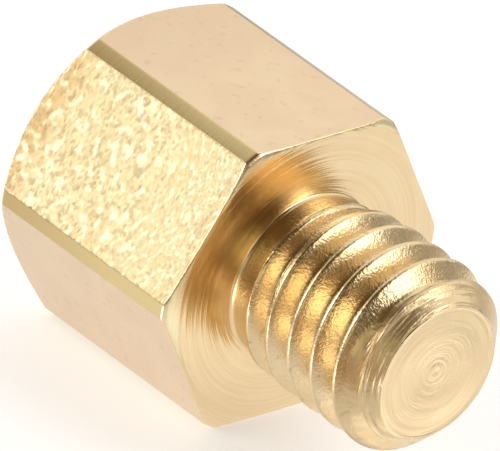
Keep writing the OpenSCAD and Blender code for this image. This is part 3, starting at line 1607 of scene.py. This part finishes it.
@dataclass(frozen=True)
class SoftBox:
    """A rectangular lamp that faces the part.

    Attributes:
        name: Name of the lamp.
        azimuth: Direction to the lamp about Z, in degrees from +X.
        elevation: Height of the lamp above the horizon, in degrees.
        size: Width and height in millimetres.
        radiance: Brightness of its face, where 1 is white.
        distance: Distance from the part in millimetres.
    """

    name: str
    azimuth: float
    elevation: float
    size: tuple[float, float]
    radiance: float
    distance: float = 150.0

    def hang(self) -> bpy.types.Object:
        """Hang the lamp in its place.

        Returns:
            The lamp.
        """
        data = bpy.data.lights.new(self.name, "AREA")
        data.shape = "RECTANGLE"
        data.size, data.size_y = self.size[0] * MM, self.size[1] * MM
        data.energy = self.radiance * math.pi * data.size * data.size_y
        lamp = bpy.data.objects.new(self.name, data)
        way = direction(self.azimuth, self.elevation)
        lamp.location = way * self.distance * MM
        lamp.rotation_euler = way.to_track_quat("Z", "Y").to_euler()
        bpy.context.scene.collection.objects.link(lamp)
        return lamp


@dataclass
class Studio:
    """Floor, tent, lamps and camera.

    Attributes:
        view: Azimuth, elevation and roll of the camera, in degrees.
        target: Point that it looks at.
        distance: Distance from that point to the camera.
        lens: Focal length.
        floor_z: Height of the floor.
        floor_size: Half its width.
        paper: Colour of its paper.
        paper_lift: Light that it gives the camera, to bring it up to white.
        open_way: Direction of the table's open side, where the floor has painted shade in gloss.
        open_edges: Cosines of the angles from it where the open side starts and is full.
        open_span: Distances from the part between which it opens.
        far_span: Distances between which the floor gets dim on all sides.
        floor_levels: Level that gloss finds beside the part, on the open side and far away.
        floor_tints: Tint of that light, and its tint on the open side.
        warm_span: Shares of the open side between which it takes that tint.
        glow_shares: How much of the floor is that light in gloss, and what the tint adds.
        pools: Painted pools of light and shade on the floor, seen in gloss only.
        tent_level: Level of the tent.
        skirt_level: Level of its dim skirt, from the horizon down.
        skirt_top: Sine of the elevation at which the skirt ends.
        patches: Parts of the tent with light of their own, each laid over those before it.
        lamps: The soft boxes.
    """

    view: tuple[float, float, float] = (-44.65248, 29.24998, 9.50033)
    target: tuple[float, float, float] = (-0.776, -0.393, 0.493)
    distance: float = 270.0
    lens: float = 1377.0
    floor_z: float = -2.25
    floor_size: float = 400.0
    paper: Colour = (0.9, 0.9, 0.9)
    paper_lift: float = 0.42
    open_way: tuple[float, float, float] = (0.809, -0.588, 0.0)
    open_edges: tuple[float, float] = (0.79, 0.94)
    open_span: tuple[float, float] = (-1.0, 11.0)
    far_span: tuple[float, float] = (12.0, 30.0)
    floor_levels: tuple[float, float, float] = (1.3, 0.36, 0.25)
    floor_tints: tuple[Colour, Colour] = ((0.97, 0.98, 1.0), (1.0, 0.55, 0.2))
    warm_span: tuple[float, float] = (0.55, 1.0)
    glow_shares: tuple[float, float] = (0.6, 0.28)
    pools: tuple[Pool, ...] = (
        Pool(0.9, -7.0, 3.6, 3.6, 4.0),
        Pool(4.9, 2.0, 1.5, 1.5, 0.6),
        Pool(6.9, 3.5, 2.0, 1.6, -0.45),
        Pool(3.5, -0.75, 1.1, 1.1, 0.8),
        Pool(2.2, -0.1, 1.6, 1.4, 0.15),
    )
    tent_level: float = 1.03
    skirt_level: float = 0.3
    skirt_top: float = 0.16
    patches: tuple[Patch, ...] = (
        Patch(234, 62, 18, 30, (0.14, 0.10, 0.045)),
        Patch(-35, 41, 36, 54, (0.10, 0.062, 0.018)),
        Patch(50, 4, 8, 24, (0.30, 0.26, 0.20)),
        Patch(0, 4, 10, 24, (0.10, 0.07, 0.04)),
        Patch(-37, 11, 8, 25, (0.92, 0.88, 0.62)),
    )
    lamps: tuple[SoftBox, ...] = (
        SoftBox("softbox_left", 240, 23, (95, 84), 2.6),
        SoftBox("softbox_right", 28.5, 25, (74, 62), 2.5),
    )

    def build(self) -> None:
        """Set up the whole studio."""
        self.camera()
        self.floor()
        self.surroundings()
        for lamp in self.lamps:
            lamp.hang()
        bpy.context.scene.view_settings.view_transform = "Standard"

    def camera(self) -> bpy.types.Object:
        """Set the camera, a long lens with a slight roll, at the stud's end of the part.

        Returns:
            The camera.
        """
        azimuth, elevation, roll = self.view
        back, roll = direction(azimuth, elevation), math.radians(roll)
        right = Vector((0, 0, 1)).cross(back).normalized()
        up = back.cross(right)
        turned_right = math.cos(roll) * right + math.sin(roll) * up
        turned_up = -math.sin(roll) * right + math.cos(roll) * up
        data = bpy.data.cameras.new("camera")
        data.sensor_width = 36
        data.lens = self.lens
        data.clip_start, data.clip_end = 0.01, 10
        camera = bpy.data.objects.new("camera", data)
        place = Matrix((turned_right, turned_up, back)).transposed().to_4x4()
        place.translation = (Vector(self.target) + self.distance * back) * MM
        camera.matrix_world = place
        bpy.context.scene.collection.objects.link(camera)
        bpy.context.scene.camera = camera
        return camera

    def floor(self) -> bpy.types.Object:
        """Lay the pale floor.

        Returns:
            The floor.
        """
        size, z = self.floor_size * MM, self.floor_z * MM
        mesh = bpy.data.meshes.new("studio_floor")
        corners = [(-size, -size, z), (size, -size, z), (size, size, z), (-size, size, z)]
        mesh.from_pydata(corners, [], [(0, 1, 2, 3)])
        mesh.materials.append(self.floor_paper())
        floor = bpy.data.objects.new("studio_floor", mesh)
        bpy.context.scene.collection.objects.link(floor)
        return floor

    def floor_paper(self) -> bpy.types.Material:
        """Make the floor's paper: matt and white to the camera, with painted light and shade in gloss.

        Returns:
            The material.
        """
        mat = bpy.data.materials.new("floor_paper")
        mat.use_nodes = True
        nodes, graph = mat.node_tree.nodes, Graph(mat.node_tree)
        shader = nodes["Principled BSDF"]
        shader.inputs["Base Color"].default_value = (*self.paper, 1)
        shader.inputs["Roughness"].default_value = 1
        shader.inputs["Specular IOR Level"].default_value = 0
        shader.inputs["Emission Color"].default_value = (1, 1, 1, 1)
        path = graph.node("LightPath").outputs
        lift = graph.math("MULTIPLY", path["Is Camera Ray"], self.paper_lift)
        graph.set(shader.inputs["Emission Strength"], lift)
        paper = shader.outputs[0]
        mix = graph.node("MixShader", path["Is Glossy Ray"], paper, self.mirrored(graph, paper))
        graph.set(nodes["Material Output"].inputs["Surface"], mix.outputs[0])
        return mat

    def mirrored(self, graph: Graph, paper: bpy.types.NodeSocket) -> bpy.types.NodeSocket:
        """Make what gloss mirrors of the floor, as painted light: bright beside the part, dim far away.

        Args:
            graph: The floor's graph.
            paper: The paper's own shader.

        Returns:
            The paper with the light of the cards and lamps round the table laid over it.
        """
        beside, dim, distant = self.floor_levels
        place = graph.vector("MULTIPLY", graph.place(), (1, 1, 0))
        distance = graph.measure("LENGTH", place)
        opening, far = (graph.ramp(distance, start * MM, end * MM)
                        for start, end in (self.open_span, self.far_span))
        ahead = graph.measure("DOT_PRODUCT", graph.vector("NORMALIZE", place), self.open_way)
        open_side = graph.math("MULTIPLY", graph.ramp(ahead, *self.open_edges), opening)
        # Painted light for gloss: bright beside the part, painted shade on the open side, pools added.
        level = graph.blend(open_side, beside, dim)
        for pool in self.pools:
            level = graph.math("ADD", level, pool.light(graph, place))
        level = graph.blend(far, level, distant)
        warm = graph.ramp(open_side, *self.warm_span)
        glow = graph.node("Emission", graph.tint(warm, *self.floor_tints), level).outputs[0]
        usual, added = self.glow_shares
        share = graph.math("MULTIPLY_ADD", warm, added, usual)
        return graph.node("MixShader", share, paper, glow).outputs[0]

    def surroundings(self) -> None:
        """Light the part from a white tent with a dim skirt and patches, white to the camera."""
        world = bpy.data.worlds.new("tent")
        bpy.context.scene.world = world
        world.use_nodes = True
        world.node_tree.nodes.clear()
        graph = Graph(world.node_tree)
        way = graph.node("TexCoord").outputs["Generated"]
        height = graph.parts(way)[2]
        walls = graph.ramp(height, 0.0, self.skirt_top, self.skirt_level, self.tent_level)
        light = graph.triple(walls, walls, walls)
        for patch in self.patches:
            light = patch.over(graph, way, light)
        sky = graph.node("Background", light, 1.0).outputs[0]
        white = graph.node("Background", (1, 1, 1, 1), 1.0).outputs[0]
        seen = graph.node("LightPath").outputs["Is Camera Ray"]
        graph.node("OutputWorld", graph.node("MixShader", seen, sky, white).outputs[0])


def main() -> None:
    """Build the studio and the standoff."""
    logging.basicConfig(level=logging.INFO, format="%(name)s: %(message)s")
    Studio().build()
    piece = HexStandoff().build()
    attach(piece, "root")
    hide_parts("hex_standoff")
    LOG.info("%s: %d faces", piece.name, len(piece.data.polygons))


if __name__ == "__main__":
    main()
